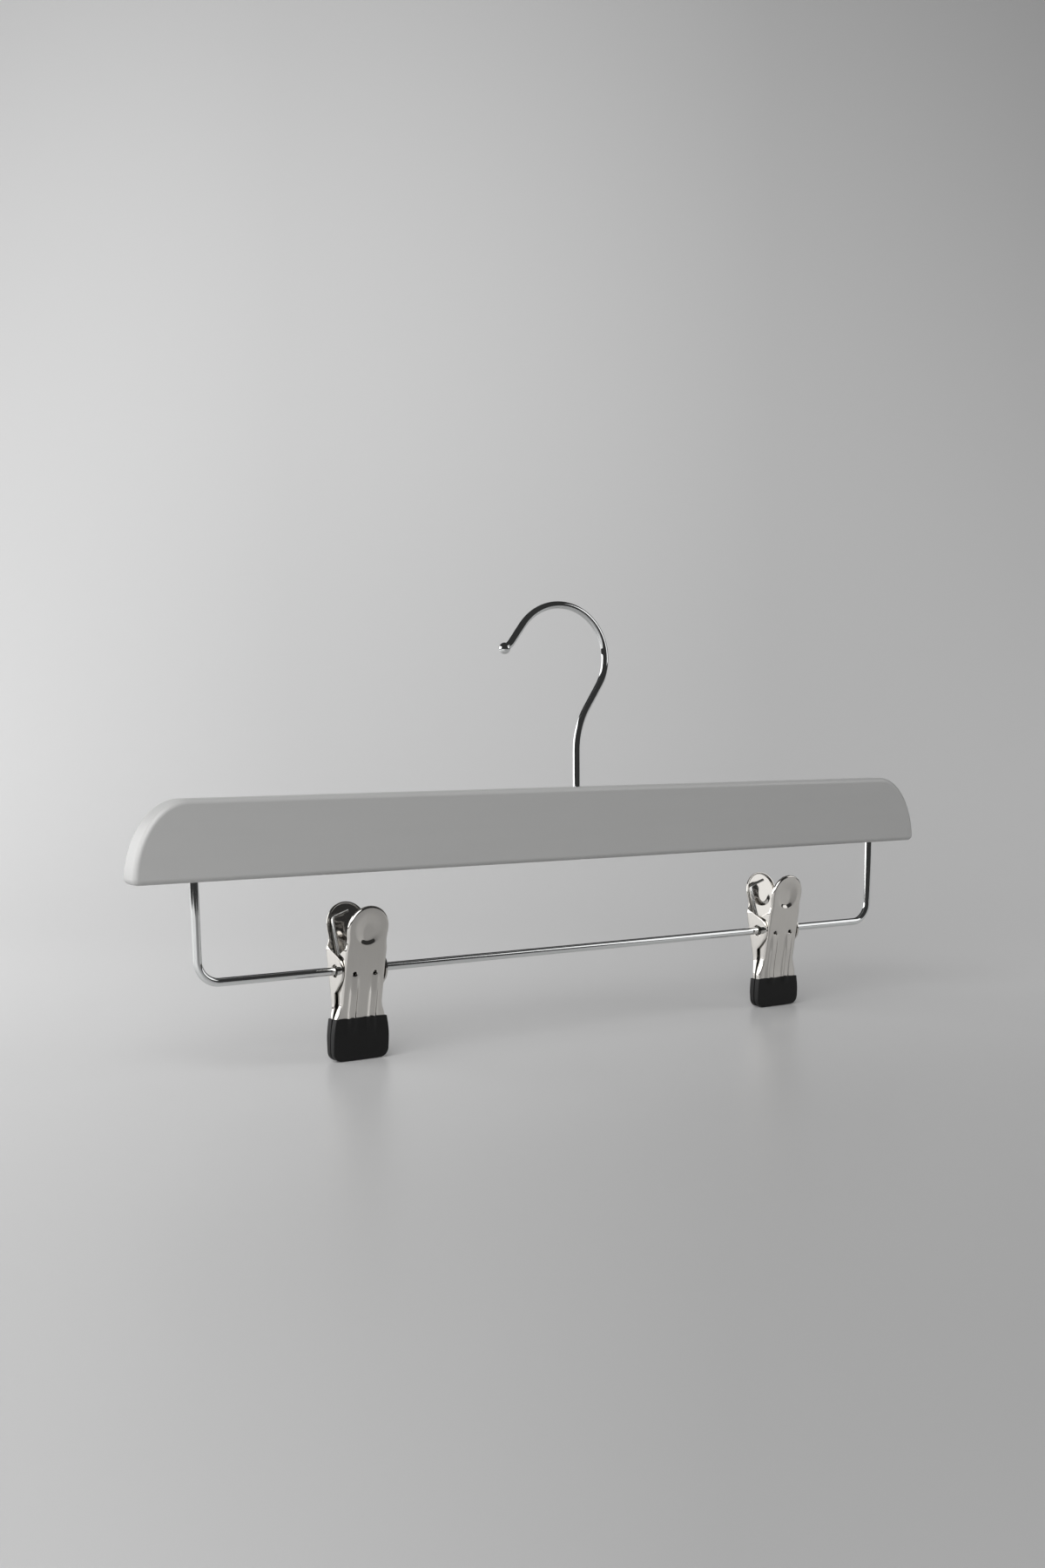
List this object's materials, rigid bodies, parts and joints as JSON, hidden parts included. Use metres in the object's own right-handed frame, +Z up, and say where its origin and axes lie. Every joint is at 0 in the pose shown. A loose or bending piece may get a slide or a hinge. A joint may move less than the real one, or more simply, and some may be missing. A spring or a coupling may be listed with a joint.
{
  "type": "clip hanger",
  "caption": "Slim grey wooden trouser hanger with a swivelling ball-ended wire hook and a wire bar below it on which sprung sheet-metal clips with black dipped tips slide and swing.",
  "frame": {"origin": "on the hook's swivel axis, where it meets the underside of the hook's crown, the point that hangs on a rail", "axes": "+Z up along the swivel axis, +X along the beam towards the clip that stands farther from the viewer, +Y away from the viewer, square to the beam's front face"},
  "size_m": [0.3598, 0.0202, 0.1631],
  "materials": {
    "grey_paint": "wood under smooth satin grey paint",
    "chrome_wire": "bright chrome on drawn wire",
    "nickel_sheet": "nickel on pressed steel sheet, faintly brushed on the flats",
    "black_dip": "soft black dipped coating, satin",
    "spring_steel": "bright drawn spring wire",
    "zinc": "dull zinc on small hardware"
  },
  "bodies": {
    "hook": {"hook": "chrome_wire", "hook_washer": "zinc", "hook_nut": "zinc"},
    "frame": {"beam": "grey_paint", "bar_wire": "chrome_wire"},
    "left_slider": {"left_pivot_tube": "nickel_sheet"},
    "left_rear": {"left_rear_jaw": "nickel_sheet", "left_rear_tip": "black_dip", "left_spring": "spring_steel"},
    "left_front": {"left_front_jaw": "nickel_sheet", "left_front_tip": "black_dip"},
    "right_slider": {"right_pivot_tube": "nickel_sheet"},
    "right_rear": {"right_rear_jaw": "nickel_sheet", "right_rear_tip": "black_dip", "right_spring": "spring_steel"},
    "right_front": {"right_front_jaw": "nickel_sheet", "right_front_tip": "black_dip"}
  },
  "joints": [
    {"name": "hook_swivel", "type": "hinge", "parent": "hook", "child": "frame", "pos_m": [0, 0, 0], "axis": [0, 0, 1], "continuous": true},
    {"name": "left_slide", "type": "slide", "parent": "frame", "child": "left_slider", "axis": [1, 0, 0], "range_m": [-0.0415, 0.083]},
    {"name": "left_swing", "type": "hinge", "parent": "left_slider", "child": "left_rear", "pos_m": [-0.0956, 0, -0.12743], "axis": [1, 0, 0], "continuous": true},
    {"name": "left_open", "type": "hinge", "parent": "left_rear", "child": "left_front", "pos_m": [-0.0956, 0, -0.12743], "axis": [-1, 0, 0], "range_deg": [0, 30], "stiffness_Nm_per_rad": 0.12, "springref_deg": -74.48, "deforming": ["left_spring"]},
    {"name": "right_slide", "type": "slide", "parent": "frame", "child": "right_slider", "axis": [1, 0, 0], "range_m": [-0.0895, 0.0355]},
    {"name": "right_swing", "type": "hinge", "parent": "right_slider", "child": "right_rear", "pos_m": [0.1018, 0, -0.12743], "axis": [1, 0, 0], "continuous": true},
    {"name": "right_open", "type": "hinge", "parent": "right_rear", "child": "right_front", "pos_m": [0.1018, 0, -0.12743], "axis": [-1, 0, 0], "range_deg": [0, 30], "stiffness_Nm_per_rad": 0.12, "springref_deg": -74.48, "deforming": ["right_spring"]}
  ]
}
